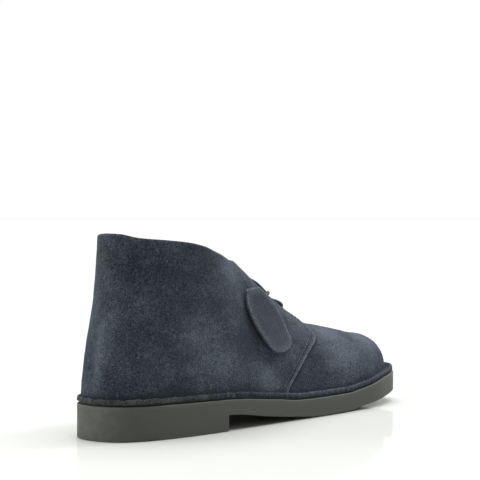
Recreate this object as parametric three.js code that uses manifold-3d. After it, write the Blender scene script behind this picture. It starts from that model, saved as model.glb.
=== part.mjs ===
// A chukka boot for the right foot, standing empty on its sole.
// Millimetres, +Z up. While it is built, x runs from the back of the heel to the toe, the outer (lateral)
// side is at -y, the inner (medial) side at +y, and the floor is z = 0. The finished group is then moved so
// that the middle of its footprint is the origin.

import * as THREE from 'three';
import { mergeVertices } from 'three/addons/utils/BufferGeometryUtils.js';
import Module from 'manifold-3d';

const wasm = await Module();
wasm.setup();

// ---------------------------------------------------------------- driving dimensions

const LENGTH = 298; // outsole, heel to toe
const GAP = 0.3; // air between neighbouring pieces
const MIDSOLE = 1.9;
const VAMP_WALL = 1.6;
const QUARTER_RISE = 1.2; // the quarters lie over the vamp and stand this much proud of it
const FLANGE = 2.0; // upper's turned-out edge, stitched down on the midsole
const FLANGE_INSET = 0.8; // sole edge past the flange
const INSOLE = 3.0;
const TONGUE = 1.8;
const LACE_RADIUS = 1.3;
const EYELET_RADIUS = 2.2;
const FOB_THICKNESS = 2.2;

const STATIONS = 46; // sections along the form
const ARCH = 26; // steps from feather to feather over one section

// The last: one row for each section along the sole.
// lateral, medial: half-widths of the sole edge. ledge: how far the sole stands out past the upper.
// ridge: y of the crown line. crown: height of the form over its feather line; over the heel it is well
// above the collar, which cuts it. square: how square the arch of the section is. ankle: half-width high up.
const LAST = [
  { x: 0, lateral: 0, medial: 0, ledge: 3.5, ridge: 0, crown: 190, square: 6, ankle: 0 },
  { x: 10, lateral: 22.4, medial: 22, ledge: 3.5, ridge: 0, crown: 190, square: 6, ankle: 17.1 },
  { x: 38, lateral: 33.4, medial: 32.5, ledge: 3.5, ridge: 0, crown: 180, square: 6, ankle: 30 },
  { x: 72, lateral: 38.5, medial: 32, ledge: 3.8, ridge: 0, crown: 145, square: 4.6, ankle: 33.5 },
  { x: 110, lateral: 41, medial: 30, ledge: 4.0, ridge: 1, crown: 100.3, square: 2.9, ankle: 32.3 },
  { x: 150, lateral: 42.5, medial: 33.5, ledge: 4.0, ridge: 2, crown: 75.1, square: 2.4, ankle: 37.2 },
  { x: 195, lateral: 44.5, medial: 45.5, ledge: 4.0, ridge: 4, crown: 51.1, square: 2.2, ankle: 40.8 },
  { x: 235, lateral: 44.8, medial: 53, ledge: 3.3, ridge: 5, crown: 38.9, square: 2.1, ankle: 43.8 },
  { x: 268, lateral: 38.1, medial: 47.8, ledge: 3.3, ridge: 4, crown: 27.5, square: 2.1, ankle: 37.5 },
  { x: 288, lateral: 26.2, medial: 32.5, ledge: 5.1, ridge: 3, crown: 23.2, square: 2.2, ankle: 25 },
  { x: LENGTH, lateral: -5, medial: 5, ledge: 5.8, ridge: 5, crown: 0, square: 2.2, ankle: 0 },
];

// The rubber from the side: under the arch, flat under the ball, and sprung at the toe.
const BREAST = 84; // front face of the heel
const SOLE = [
  { x: 0, bottom: 10.2, top: 21.4 },
  { x: BREAST, bottom: 9.9, top: 20.3 },
  { x: 130, bottom: 4.4, top: 16.3 },
  { x: 155, bottom: 1.7, top: 13.6 },
  { x: 176, bottom: 0, top: 13.2 },
  { x: 206, bottom: 0, top: 13.3 },
  { x: 226, bottom: 2.2, top: 15.3 },
  { x: 262, bottom: 6.1, top: 20.8 },
  { x: LENGTH, bottom: 9.8, top: 22.7 },
];

// How far the back of the heel leans forward at each height.
const HEEL_BACK = [
  { z: 0, forward: 0 },
  { z: 25, forward: 0 },
  { z: 50, forward: 2.8 },
  { z: 90, forward: 10.7 },
  { z: 128, forward: 13.5 },
  { z: 220, forward: 16.5 },
];
const LEAN_REACH = 130; // the lean fades out this far along the foot

// Top line of the collar from the side.
const COLLAR = [
  { x: -20, z: 126.7 },
  { x: 14, z: 126.7 },
  { x: 24, z: 123.9 },
  { x: 38, z: 122.5 },
  { x: 55, z: 120.7 },
  { x: 66, z: 118.5 },
  { x: 83, z: 113.2 },
  { x: 98, z: 109.1 },
  { x: 150, z: 108.7 },
];

// Throat between the two facings from above: the y of either edge, about the line the lacing is set out from.
const THROAT_Y = 3;
const THROAT = [
  { x: 100, lateral: -22, medial: 23.2 },
  { x: 106, lateral: -19.4, medial: 22.8 },
  { x: 113, lateral: -15.8, medial: 21.4 },
  { x: 122, lateral: -11.8, medial: 18.6 },
  { x: 135, lateral: -7.6, medial: 14.3 },
  { x: 150, lateral: -4.6, medial: 11 },
  { x: 165, lateral: -3, medial: 9 },
  { x: 180, lateral: -1.7, medial: 7.7 },
];

// Front edge of the quarters from the side, from the feather up to the throat.
const QUARTER_EDGE = [
  { x: 141, z: 10 },
  { x: 145.5, z: 20 },
  { x: 153, z: 27.5 },
  { x: 166, z: 38.5 },
  { x: 178, z: 46.5 },
  { x: 188, z: 51.5 },
  { x: 191.3, z: 54 },
  { x: 191, z: 57.5 },
  { x: 188.5, z: 62 },
  { x: 187, z: 70 },
];

const EYELETS = [
  { x: 174, out: 13.5 },
  { x: 150, out: 20 },
];

// Runs of lace that show at the throat, from the medial eyelets: one straight across, and one that turns down
// along the lateral facing. lift: slack over the leather.
const LACES = [
  {
    name: 'lower',
    lift: 0.2,
    route: [
      { x: 174, y: 16.5 },
      { x: 174, y: 10 },
      { x: 174, y: 3 },
      { x: 174, y: -4 },
      { x: 174, y: -10.5 },
    ],
  },
  {
    name: 'top',
    lift: 0.4,
    route: [
      { x: 150, y: 23 },
      { x: 149, y: 14 },
      { x: 148.3, y: 6 },
      { x: 149.3, y: 0 },
      { x: 152, y: -3.6 },
      { x: 156.5, y: -4.4 },
      { x: 161.5, y: -3.8 },
      { x: 166, y: -2.6 },
    ],
  },
];

// Outline of the fob, across and up from the middle of its top edge.
const FOB_OUTLINE = [
  { across: -8.2, up: 1.9 },
  { across: 7, up: -1.9 },
  { across: 12, up: -12.2 },
  { across: 15.2, up: -19.1 },
  { across: 16.5, up: -31.8 },
  { across: 16.5, up: -44.1 },
  { across: 14.1, up: -47.9 },
  { across: 8.6, up: -49 },
  { across: 2, up: -48.2 },
  { across: -5, up: -45.7 },
  { across: -8.6, up: -41.4 },
  { across: -10.8, up: -35.4 },
  { across: -13.8, up: -25 },
  { across: -15, up: -15.7 },
  { across: -14.6, up: -8 },
];
// Where the fob hangs, and how its face is turned.
const FOB_TOP = { x: 122.4, y: -26.4, z: 89.7 };
const FOB_LEAN = THREE.MathUtils.degToRad(18); // lower end towards the toe
const FOB_TILT = THREE.MathUtils.degToRad(16); // face turned up
const FOB_YAW = THREE.MathUtils.degToRad(4); // face turned to the toe

const TONGUE_PLAN = { back: 125, front: 204, half: 25, corner: 12 };

// Grooves across the tread, kept in from the sole edge.
const GROOVE = { width: 3, depth: 1.5, margin: 11 };
const HEEL_GROOVES = [20, 36, 52, 68];
const FORE_GROOVES = [146, 160, 174, 194, 208, 222, 236, 250, 264];

// ---------------------------------------------------------------- curves

// A smooth curve through the points (at, value) that never overshoots them.
function curve(at, value) {
  const last = at.length - 1;
  const step = at.slice(1).map((a, i) => a - at[i]);
  const slope = step.map((h, i) => (value[i + 1] - value[i]) / h);
  const endTangent = (h0, h1, s0, s1) => {
    const t = ((2 * h0 + h1) * s0 - h0 * s1) / (h0 + h1);
    if (t * s0 <= 0) return 0;
    return s0 * s1 < 0 && Math.abs(t) > Math.abs(3 * s0) ? 3 * s0 : t;
  };
  const tangent = at.map((_, i) => {
    if (i === 0) return endTangent(step[0], step[1], slope[0], slope[1]);
    if (i === last) return endTangent(step[last - 1], step[last - 2], slope[last - 1], slope[last - 2]);
    if (slope[i - 1] * slope[i] <= 0) return 0;
    const w0 = 2 * step[i] + step[i - 1];
    const w1 = step[i] + 2 * step[i - 1];
    return (w0 + w1) / (w0 / slope[i - 1] + w1 / slope[i]);
  });
  return (q) => {
    const place = Math.min(Math.max(q, at[0]), at[last]);
    let i = 0;
    while (i < last - 1 && place > at[i + 1]) i += 1;
    const u = (place - at[i]) / step[i];
    const keep = (2 * u - 3) * u * u + 1;
    return (
      keep * value[i] +
      (1 - keep) * value[i + 1] +
      step[i] * u * (1 - u) * ((1 - u) * tangent[i] - u * tangent[i + 1])
    );
  };
}

const column = (table, input, output) =>
  curve(table.map((row) => row[input]), table.map((row) => row[output]));

// The last is read by an angle that runs from 0 at the heel to PI at the toe, which rounds both ends.
const turnAt = (x, start = 0, end = LENGTH) =>
  Math.acos(1 - (2 * Math.min(Math.max(x - start, 0), end - start)) / (end - start));
const lastCurve = (output) =>
  curve(LAST.map((row) => turnAt(row.x)), LAST.map((row) => row[output]));
const last = Object.fromEntries(
  ['lateral', 'medial', 'ledge', 'ridge', 'crown', 'square', 'ankle'].map((key) => [key, lastCurve(key)]),
);
const soleBottom = column(SOLE, 'x', 'bottom');
const soleTop = column(SOLE, 'x', 'top');
const heelForward = column(HEEL_BACK, 'z', 'forward');
const feather = (x) => soleTop(x) + GAP + MIDSOLE + GAP; // bottom of the upper

const clamp = (t) => Math.min(Math.max(t, 0), 1);
const smooth = (t) => clamp(t) ** 2 * (3 - 2 * clamp(t));

// ---------------------------------------------------------------- the form of the last

const HEEL_RADIUS = 33; // ends narrower than this are drawn in by scale, wider sections by their inset
const TOE_HEIGHT = 25; // likewise for low sections
const ANKLE_FROM = 8; // heights over the feather line between which the section turns into the ankle's
const ANKLE_OVER = 85;

// Sole outline at an angle along the last, drawn in by an inset that may change from heel to toe.
function outline(turn, inset) {
  const start = inset(0);
  const end = LENGTH - inset(Math.PI);
  const width = (last.lateral(turn) + last.medial(turn)) / 2;
  return {
    x: start + ((end - start) * (1 - Math.cos(turn))) / 2,
    middle: (last.medial(turn) - last.lateral(turn)) / 2,
    half: width * (1 - inset(turn) / Math.max(width, HEEL_RADIUS)),
  };
}

const upperInset = (grow) => (turn) => last.ledge(turn) - grow;

// A point of the upper's surface, grown outwards by a thickness. side runs from -1 at the lateral feather
// line over 0 at the crown to 1 at the medial feather line.
function formPoint(turn, side, grow) {
  const { x, middle, half } = outline(turn, upperInset(grow));
  const down = Math.min(Math.abs(side), 1);
  const crown = last.crown(turn);
  const height = crown * (1 + grow / Math.max(crown, TOE_HEIGHT));
  const rise = height * (1 - down);
  const z = feather(x) + rise;
  const arch = Math.sqrt(1 - (1 - down) ** last.square(turn));
  const high = smooth((rise - ANKLE_FROM) / ANKLE_OVER);
  const ankle = Math.min(last.ankle(turn) * (1 + grow / HEEL_RADIUS), half + 3);
  const wide = half * (1 - high) + ankle * high;
  const centre = middle * (1 - high * smooth((215 - x) / 60));
  const ridge = last.ridge(turn);
  return [
    x + heelForward(z) * clamp(1 - x / LEAN_REACH) ** 2,
    ridge + (centre - ridge) * down + Math.sign(side) * wide * arch,
    z,
  ];
}

// The point of the surface over a place (x, y) near the crown.
function surfaceAt(x, y, grow) {
  const inset = upperInset(grow);
  const turn = turnAt(x, inset(0), LENGTH - inset(Math.PI));
  const way = y < last.ridge(turn) ? -1 : 1;
  let near = 0;
  let far = 1;
  for (let i = 0; i < 40; i += 1) {
    const mid = (near + far) / 2;
    if ((formPoint(turn, way * mid, grow)[1] - y) * way < 0) near = mid;
    else far = mid;
  }
  return new THREE.Vector3(...formPoint(turn, way * near, grow));
}

// Outward normal there, from three nearby points.
function normalAt(x, y, grow) {
  const here = surfaceAt(x, y, grow);
  const along = surfaceAt(x + 1, y, grow).sub(here);
  const across = surfaceAt(x, y + 1, grow).sub(here);
  return along.cross(across).normalize();
}

// ---------------------------------------------------------------- solids

function toSolid(geometry) {
  const bare = geometry.clone();
  bare.deleteAttribute('normal');
  bare.deleteAttribute('uv');
  const merged = mergeVertices(bare, 1e-4);
  const index = merged.index.array;
  const triVerts = [];
  for (let i = 0; i < index.length; i += 3) {
    const [a, b, c] = [index[i], index[i + 1], index[i + 2]];
    if (a !== b && b !== c && c !== a) triVerts.push(a, b, c);
  }
  return new wasm.Manifold(
    new wasm.Mesh({
      numProp: 3,
      vertProperties: new Float32Array(merged.attributes.position.array),
      triVerts: new Uint32Array(triVerts),
    }),
  );
}

function toGeometry(solid) {
  const mesh = solid.getMesh();
  const geometry = new THREE.BufferGeometry();
  geometry.setAttribute('position', new THREE.BufferAttribute(mesh.vertProperties, 3));
  geometry.setIndex(new THREE.BufferAttribute(mesh.triVerts, 1));
  geometry.computeVertexNormals();
  return geometry;
}

// A closed body through rings of points, one ring a section; the first and last ring have no area.
function loft(rings) {
  const count = rings[0].length;
  const index = [];
  for (let i = 0; i + 1 < rings.length; i += 1) {
    for (let j = 0; j < count; j += 1) {
      const a = i * count + j;
      const b = i * count + ((j + 1) % count);
      index.push(a, b + count, b, a, a + count, b + count);
    }
  }
  const geometry = new THREE.BufferGeometry();
  geometry.setAttribute('position', new THREE.Float32BufferAttribute(rings.flat(2), 3));
  geometry.setIndex(index);
  return toSolid(geometry);
}

const turns = Array.from({ length: STATIONS + 1 }, (_, i) => (Math.PI * i) / STATIONS);

// The solid form of the upper, with a skirt that carries it down past its feather line.
function form(grow, skirt = 0) {
  const sides = Array.from({ length: ARCH + 1 }, (_, j) => {
    const angle = (Math.PI * j) / ARCH - Math.PI / 2;
    return Math.sign(angle) * (1 - Math.cos(angle));
  });
  return loft(
    turns.map((turn) => {
      const ring = sides.map((side) => formPoint(turn, side, grow));
      if (skirt === 0) return ring;
      const lower = ([x, y, z]) => [x, y, z - skirt];
      return [lower(ring[0]), ...ring, lower(ring[ARCH])];
    }),
  );
}

// A layer of the bottom between two heights that change along the foot.
function layer(inset, low, high) {
  return loft(
    turns.map((turn) => {
      const { x, middle, half } = outline(turn, inset);
      const edge = (side, height) => [x, middle + side * half, height(x)];
      return [edge(-1, low), edge(-1, high), edge(1, high), edge(1, low)];
    }),
  );
}

// An upright block through the shoe: points are (x, z) seen from the lateral side, or (x, y) from above.
function sideBlock(points) {
  const shape = new THREE.Shape(points.map(([x, z]) => new THREE.Vector2(x, z)));
  const geometry = new THREE.ExtrudeGeometry(shape, { depth: 200, bevelEnabled: false });
  return toSolid(geometry.rotateX(Math.PI / 2).translate(0, 100, 0));
}

function planBlock(points, low, high) {
  const shape = new THREE.Shape(points.map(([x, y]) => new THREE.Vector2(x, y)));
  const geometry = new THREE.ExtrudeGeometry(shape, { depth: high - low, bevelEnabled: false });
  return toSolid(geometry.translate(0, 0, low));
}

const boxBlock = (low, high) => {
  const size = high.map((h, i) => h - low[i]);
  const middle = high.map((h, i) => (h + low[i]) / 2);
  return toSolid(new THREE.BoxGeometry(...size).translate(...middle));
};

// Points of a table's curve at even steps.
function trace(table, input, output, steps) {
  const at = column(table, input, output);
  const from = table[0][input];
  const to = table[table.length - 1][input];
  return Array.from({ length: steps + 1 }, (_, i) => from + ((to - from) * i) / steps).map((q) => [q, at(q)]);
}

// ---------------------------------------------------------------- pieces

function outsole() {
  const edge = () => 0;
  const fore = layer(edge, soleBottom, soleTop);
  const heel = layer(edge, () => 0, () => 14).intersect(boxBlock([-1, -80, -1], [BREAST, 80, 20]));
  let solid = fore.add(heel);
  for (const x of [...HEEL_GROOVES, ...FORE_GROOVES]) {
    const { middle, half } = outline(turnAt(x), edge);
    const floor = x < BREAST ? 0 : soleBottom(x);
    solid = solid.subtract(
      boxBlock(
        [x - GROOVE.width / 2, middle - half + GROOVE.margin, -2],
        [x + GROOVE.width / 2, middle + half - GROOVE.margin, floor + GROOVE.depth],
      ),
    );
  }
  return solid;
}

function midsole() {
  const inset = () => FLANGE_INSET;
  return layer(inset, (x) => soleTop(x) + GAP, (x) => soleTop(x) + GAP + MIDSOLE);
}

// The hole for the foot: everything over the collar line, and the throat between the facings.
function footOpening() {
  const rim = trace(COLLAR, 'x', 'z', 34);
  const over = sideBlock([...rim, [150, 240], [-20, 240]]);
  const lateral = trace(THROAT, 'x', 'lateral', 22);
  const medial = trace(THROAT, 'x', 'medial', 22).reverse();
  const [frontX, frontY] = medial[0];
  const nose = Array.from({ length: 5 }, (_, i) => {
    const angle = -Math.PI / 2 + (Math.PI * (i + 1)) / 6;
    const radius = frontY - THROAT_Y;
    return [frontX + radius * Math.cos(angle), THROAT_Y + radius * Math.sin(angle)];
  });
  return over.add(planBlock([...lateral, ...nose, ...medial], 46, 240));
}

function eyeletHole({ x, out }, way) {
  const y = THROAT_Y + way * out;
  const normal = normalAt(x, y, QUARTER_RISE);
  const hole = new THREE.CylinderGeometry(EYELET_RADIUS, EYELET_RADIUS, 14, 12);
  hole.applyQuaternion(new THREE.Quaternion().setFromUnitVectors(new THREE.Vector3(0, 1, 0), normal));
  hole.translate(...surfaceAt(x, y, QUARTER_RISE).toArray());
  return toSolid(hole);
}

function upper() {
  const edge = trace(QUARTER_EDGE.slice(0, 7), 'z', 'x', 14).map(([z, x]) => [x, z]);
  const turned = QUARTER_EDGE.slice(7).map(({ x, z }) => [x, z]);
  const behind = sideBlock([...edge, ...turned, [187, 240], [-20, 240], [-20, 10]]);
  const quarters = form(QUARTER_RISE).intersect(behind);
  const flange = layer(() => FLANGE_INSET, feather, (x) => feather(x) + FLANGE);
  let solid = form(0).add(quarters).add(flange).subtract(form(-VAMP_WALL, 6)).subtract(footOpening());
  for (const eyelet of EYELETS) {
    for (const way of [-1, 1]) solid = solid.subtract(eyeletHole(eyelet, way));
  }
  return solid;
}

function insole() {
  const inset = (turn) => last.ledge(turn) + VAMP_WALL + 3 * GAP;
  return layer(inset, feather, (x) => feather(x) + INSOLE);
}

function tongue() {
  const outer = form(-VAMP_WALL - GAP);
  const inner = form(-VAMP_WALL - GAP - TONGUE, 4);
  const { back, front, half, corner } = TONGUE_PLAN;
  const round = Array.from({ length: 7 }, (_, i) => (Math.PI / 12) * i);
  const corners = (way) =>
    round.map((a) => {
      const across = half - corner * (1 - Math.cos(a));
      return [back + corner * (1 - Math.sin(a)), THROAT_Y + way * across];
    });
  const plan = [
    [front, THROAT_Y - half],
    [front, THROAT_Y + half],
    ...corners(1),
    ...corners(-1).reverse(),
  ];
  return outer.subtract(inner).intersect(planBlock(plan, 40, 240));
}

// One run of lace over the throat, just clear of the leather.
function laceBar({ lift, route }) {
  const rest = LACE_RADIUS + GAP + lift;
  const points = route.map(({ x, y }) =>
    surfaceAt(x, y, QUARTER_RISE).addScaledVector(normalAt(x, y, QUARTER_RISE), rest),
  );
  const section = new THREE.Shape();
  section.absarc(0, 0, LACE_RADIUS, 0, Math.PI * 2);
  const geometry = new THREE.ExtrudeGeometry(section, {
    steps: 18,
    curveSegments: 4,
    bevelEnabled: false,
    extrudePath: new THREE.CatmullRomCurve3(points),
  });
  return toSolid(geometry);
}

// The blank fob on the lace.
function fob() {
  const shape = new THREE.Shape(FOB_OUTLINE.map(({ across, up }) => new THREE.Vector2(across, up)));
  const geometry = new THREE.ExtrudeGeometry(shape, { depth: FOB_THICKNESS, bevelEnabled: false });
  geometry.rotateZ(FOB_LEAN);
  geometry.rotateX(Math.PI / 2 - FOB_TILT);
  geometry.rotateZ(FOB_YAW);
  return toSolid(geometry.translate(FOB_TOP.x, FOB_TOP.y, FOB_TOP.z));
}

// ---------------------------------------------------------------- the boot

const suede = (color) => new THREE.MeshStandardMaterial({ color, roughness: 0.95, metalness: 0 });
const rubber = new THREE.MeshStandardMaterial({ color: 0x34372f, roughness: 0.7, metalness: 0 });
const cotton = new THREE.MeshStandardMaterial({ color: 0x1a1f2a, roughness: 0.9, metalness: 0 });

function piece(name, solid, material) {
  const mesh = new THREE.Mesh(toGeometry(solid), material);
  mesh.name = name;
  return mesh;
}

const shoe = new THREE.Group();
shoe.add(piece('outsole', outsole(), rubber));
shoe.add(piece('midsole', midsole(), new THREE.MeshStandardMaterial({ color: 0x1c1c1a, roughness: 0.8 })));
shoe.add(piece('insole', insole(), new THREE.MeshStandardMaterial({ color: 0xa08562, roughness: 0.8 })));
shoe.add(piece('upper', upper(), suede(0x2b3140)));
shoe.add(piece('tongue', tongue(), suede(0x272d3a)));
for (const lace of LACES) shoe.add(piece(`lace_bar_${lace.name}`, laceBar(lace), cotton));
shoe.add(piece('fob', fob(), suede(0x2f3646)));

const box = new THREE.Box3().setFromObject(shoe);
const middle = box.getCenter(new THREE.Vector3());
shoe.position.set(-middle.x, -middle.y, 0);

const boot = new THREE.Group();
boot.add(shoe);

export default boot;
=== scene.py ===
"""A suede chukka boot for the right foot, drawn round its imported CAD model.

The shape is the last's own: the tables and formPoint of the CAD source, repeated here so that the leather can
be drawn finely. Sizes are millimetres in the boot's own frame, which part.mjs uses: x runs from the back of
the heel to the toe, the outer (lateral) side is at -y, and the floor is z = 0.
"""

import math

import bpy
import numpy as np
from mathutils import Matrix, Vector, noise

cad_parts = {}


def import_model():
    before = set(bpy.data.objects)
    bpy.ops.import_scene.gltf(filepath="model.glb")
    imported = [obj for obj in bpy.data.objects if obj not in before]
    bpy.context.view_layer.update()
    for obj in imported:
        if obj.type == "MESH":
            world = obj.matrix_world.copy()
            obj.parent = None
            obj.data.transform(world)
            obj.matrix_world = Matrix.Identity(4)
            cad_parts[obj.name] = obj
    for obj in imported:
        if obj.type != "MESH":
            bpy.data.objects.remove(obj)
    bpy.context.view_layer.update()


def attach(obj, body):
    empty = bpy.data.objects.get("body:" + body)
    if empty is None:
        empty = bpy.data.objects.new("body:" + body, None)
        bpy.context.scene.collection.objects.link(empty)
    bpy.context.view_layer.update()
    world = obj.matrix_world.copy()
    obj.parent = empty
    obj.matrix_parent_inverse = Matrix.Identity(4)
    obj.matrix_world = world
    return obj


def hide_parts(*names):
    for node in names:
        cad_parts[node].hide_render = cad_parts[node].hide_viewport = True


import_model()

# -------------------- driving dimensions

LENGTH = 298.0
GAP = 0.3
MIDSOLE = 1.9
VAMP_WALL = 1.6
VAMP_UNDER = 12.0
VAMP_CLEAR = 1.2
QUARTER_RISE = 1.2
QUARTER_WALL = 2.6
QUARTER_CLEAR = 0.1
FLANGE_INSET = 0.8
INSOLE = 3.0
TONGUE_WALL = 1.8
LACE_RADIUS = 1.3
LACE_LIFT = 0.2
EYELET_RADIUS = 2.2
BREAST = 84.0
HEEL_HEIGHT = 14.0
THROAT_Y = 3.0
LEAN_REACH = 130.0
HEEL_RADIUS = 33.0
TOE_HEIGHT = 25.0
ANKLE_FROM = 8.0
ANKLE_OVER = 85.0
ANKLE_SPARE = 3.0
CENTRED_BEHIND = 215.0
CENTRED_OVER = 60.0
SOLE_RIM = 0.7
STRIP_RIM = 0.4

LAST_COLUMNS = ("x", "lateral", "medial", "ledge", "ridge", "crown", "square", "ankle")
LAST = [
    (0, 0, 0, 3.5, 0, 190, 6, 0),
    (10, 22.4, 22, 3.5, 0, 190, 6, 17.1),
    (38, 33.4, 32.5, 3.5, 0, 180, 6, 30),
    (72, 38.5, 32, 3.8, 0, 145, 4.6, 33.5),
    (110, 41, 30, 4.0, 1, 100.3, 2.9, 32.3),
    (150, 42.5, 33.5, 4.0, 2, 75.1, 2.4, 37.2),
    (195, 44.5, 45.5, 4.0, 4, 51.1, 2.2, 40.8),
    (235, 44.8, 53, 3.3, 5, 38.9, 2.1, 43.8),
    (268, 38.1, 47.8, 3.3, 4, 27.5, 2.1, 37.5),
    (288, 26.2, 32.5, 5.1, 3, 23.2, 2.2, 25),
    (LENGTH, -5, 5, 5.8, 5, 0, 2.2, 0),
]

SOLE_COLUMNS = ("x", "bottom", "top")
SOLE = [
    (0, 10.2, 21.4),
    (BREAST, 9.9, 20.3),
    (130, 4.4, 16.3),
    (155, 1.7, 13.6),
    (176, 0, 13.2),
    (206, 0, 13.3),
    (226, 2.2, 15.3),
    (262, 6.1, 20.8),
    (LENGTH, 9.8, 22.7),
]

HEEL_BACK = [(0, 0), (25, 0), (50, 2.8), (90, 10.7), (128, 13.5), (220, 16.5)]  # z, forward

COLLAR = [  # x, z
    (-20, 126.7),
    (14, 126.7),
    (24, 123.9),
    (38, 122.5),
    (55, 120.7),
    (66, 118.5),
    (83, 113.2),
    (98, 109.6),
    (125, 108.5),
]

THROAT_COLUMNS = ("x", "lateral", "medial")
THROAT = [
    (100, -23.4, 25.4),
    (106, -19.6, 22.8),
    (113, -15.8, 20.2),
    (122, -11.8, 17.4),
    (135, -7.6, 13.6),
    (150, -4.6, 11),
    (165, -3, 9),
    (180, -1.7, 7.7),
]

QUARTER_EDGE = [  # z, x
    (10, 141),
    (20, 145.5),
    (27.5, 153),
    (38.5, 166),
    (46.5, 178),
    (51.5, 188),
    (54, 191.3),
    (57.5, 191),
    (62, 188.5),
    (70, 187),
]

EYELETS = [(174, 16.5), (174, -10.5), (150, 23), (150, -17)]  # x, y

MIDSOLE_INSET = 2.1
GROOVE_WIDTH = 3.0
GROOVE_DEPTH = 1.5
GROOVE_MARGIN = 11.0
GROOVES = [20, 36, 52, 68, 146, 160, 174, 194, 208, 222, 236, 250, 264]

# -------------------- curves


def curve(points):
    """A smooth curve through (at, value) points that never overshoots them."""
    at, value = (np.array(c, float) for c in zip(*points))
    step = np.diff(at)
    slope = np.diff(value) / step
    tangent = np.zeros(len(at))
    for i in range(1, len(at) - 1):
        if slope[i - 1] * slope[i] > 0:
            w0 = 2 * step[i] + step[i - 1]
            w1 = step[i] + 2 * step[i - 1]
            tangent[i] = (w0 + w1) / (w0 / slope[i - 1] + w1 / slope[i])

    def end(h0, h1, s0, s1):
        t = ((2 * h0 + h1) * s0 - h0 * s1) / (h0 + h1)
        if t * s0 <= 0:
            return 0.0
        return 3 * s0 if s0 * s1 < 0 and abs(t) > abs(3 * s0) else t

    tangent[0] = end(step[0], step[1], slope[0], slope[1])
    tangent[-1] = end(step[-1], step[-2], slope[-1], slope[-2])

    def read(q):
        q = np.clip(q, at[0], at[-1])
        i = np.clip(np.searchsorted(at, q) - 1, 0, len(at) - 2)
        u = (q - at[i]) / step[i]
        keep = (2 * u - 3) * u * u + 1
        bend = step[i] * u * (1 - u) * ((1 - u) * tangent[i] - u * tangent[i + 1])
        return keep * value[i] + (1 - keep) * value[i + 1] + bend

    return read


def column(table, columns, output, key=lambda x: x):
    pick = columns.index(output)
    return curve([(key(row[0]), row[pick]) for row in table])


def turn_at(x, start=0.0, end=LENGTH):
    return np.arccos(1 - 2 * np.clip(np.asarray(x, float) - start, 0, end - start) / (end - start))


last = {name: column(LAST, LAST_COLUMNS, name, turn_at) for name in LAST_COLUMNS[1:]}
sole_bottom = column(SOLE, SOLE_COLUMNS, "bottom")
sole_top = column(SOLE, SOLE_COLUMNS, "top")
heel_forward = curve(HEEL_BACK)
collar_height = curve(COLLAR)
throat_lateral = column(THROAT, THROAT_COLUMNS, "lateral")
throat_medial = column(THROAT, THROAT_COLUMNS, "medial")
quarter_front = curve(QUARTER_EDGE)


def clamp(t):
    return np.clip(t, 0, 1)


def smooth(t):
    return clamp(t) ** 2 * (3 - 2 * clamp(t))


def close_to(distance, reach):
    """1 at no distance, and falling to nothing at about twice the reach."""
    return np.exp(-((distance / reach) ** 2))


def soft_min(a, b, blend):
    """The lower of two fields, with the corner between them rounded."""
    h = clamp(0.5 + 0.5 * (b - a) / blend)
    return b * (1 - h) + a * h - blend * h * (1 - h)


def feather(x):
    return sole_top(x) + GAP + MIDSOLE + GAP


# -------------------- the form of the last


def outline(turn, inset):
    """(x, middle, half-width) of the sole's outline, drawn in by inset(turn)."""
    start = inset(0.0)
    end = LENGTH - inset(math.pi)
    width = (last["lateral"](turn) + last["medial"](turn)) / 2
    middle = (last["medial"](turn) - last["lateral"](turn)) / 2
    x = start + (end - start) * (1 - np.cos(turn)) / 2
    return x, middle, width * (1 - inset(turn) / np.maximum(width, HEEL_RADIUS))


def form(turn, side, grow):
    """Points of the upper's surface, grow millimetres out from the last.

    side: -1 at the lateral feather line, 0 at the crown and 1 at the medial feather line.
    """
    turn, side, grow = np.broadcast_arrays(*(np.asarray(v, float) for v in (turn, side, grow)))
    level = float(np.median(grow))
    x, middle, half = outline(turn, lambda t: last["ledge"](t) - level)
    half = half + (grow - level)
    down = np.minimum(np.abs(side), 1)
    crown = last["crown"](turn)
    height = crown * (1 + grow / np.maximum(crown, TOE_HEIGHT))
    rise = height * (1 - down)
    z = feather(x) + rise
    arch = np.sqrt(1 - (1 - down) ** last["square"](turn))
    high = smooth((rise - ANKLE_FROM) / ANKLE_OVER)
    ankle = np.minimum(last["ankle"](turn) * (1 + grow / HEEL_RADIUS), half + ANKLE_SPARE)
    wide = half * (1 - high) + ankle * high
    centre = middle * (1 - high * smooth((CENTRED_BEHIND - x) / CENTRED_OVER))
    ridge = last["ridge"](turn)
    y = ridge + (centre - ridge) * down + np.where(side < 0, -1, 1) * wide * arch
    return np.stack([x + heel_forward(z) * clamp(1 - x / LEAN_REACH) ** 2, y, z], axis=-1)


def turn_over(x, grow):
    return turn_at(x, last["ledge"](0.0) - grow, LENGTH - last["ledge"](math.pi) + grow)


HALVINGS = 40


def over(x, y, grow):
    """The point of the surface over a place near the crown."""
    turn = turn_over(x, grow)
    way = np.where(y < last["ridge"](turn), -1.0, 1.0)
    near = np.zeros_like(way)
    far = np.ones_like(way)
    for _ in range(HALVINGS):
        mid = (near + far) / 2
        short = (form(turn, way * mid, grow)[..., 1] - y) * way < 0
        near = np.where(short, mid, near)
        far = np.where(short, far, mid)
    return form(turn, way * near, grow)


def over_normal(x, y, grow):
    here = over(x, y, grow)
    normal = np.cross(over(x + 1, y, grow) - here, over(x, y + 1, grow) - here)
    return normal / np.linalg.norm(normal, axis=-1, keepdims=True)


def on_side(x, z, way, grow):
    """The point of the surface at a place seen from the side, in front of where the heel leans."""
    turn = turn_over(x, grow)
    crown = last["crown"](turn)
    height = crown * (1 + grow / np.maximum(crown, TOE_HEIGHT))
    down = 1 - (z - feather(x)) / height
    return form(turn, way * clamp(down), grow)


# -------------------- meshes

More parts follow.
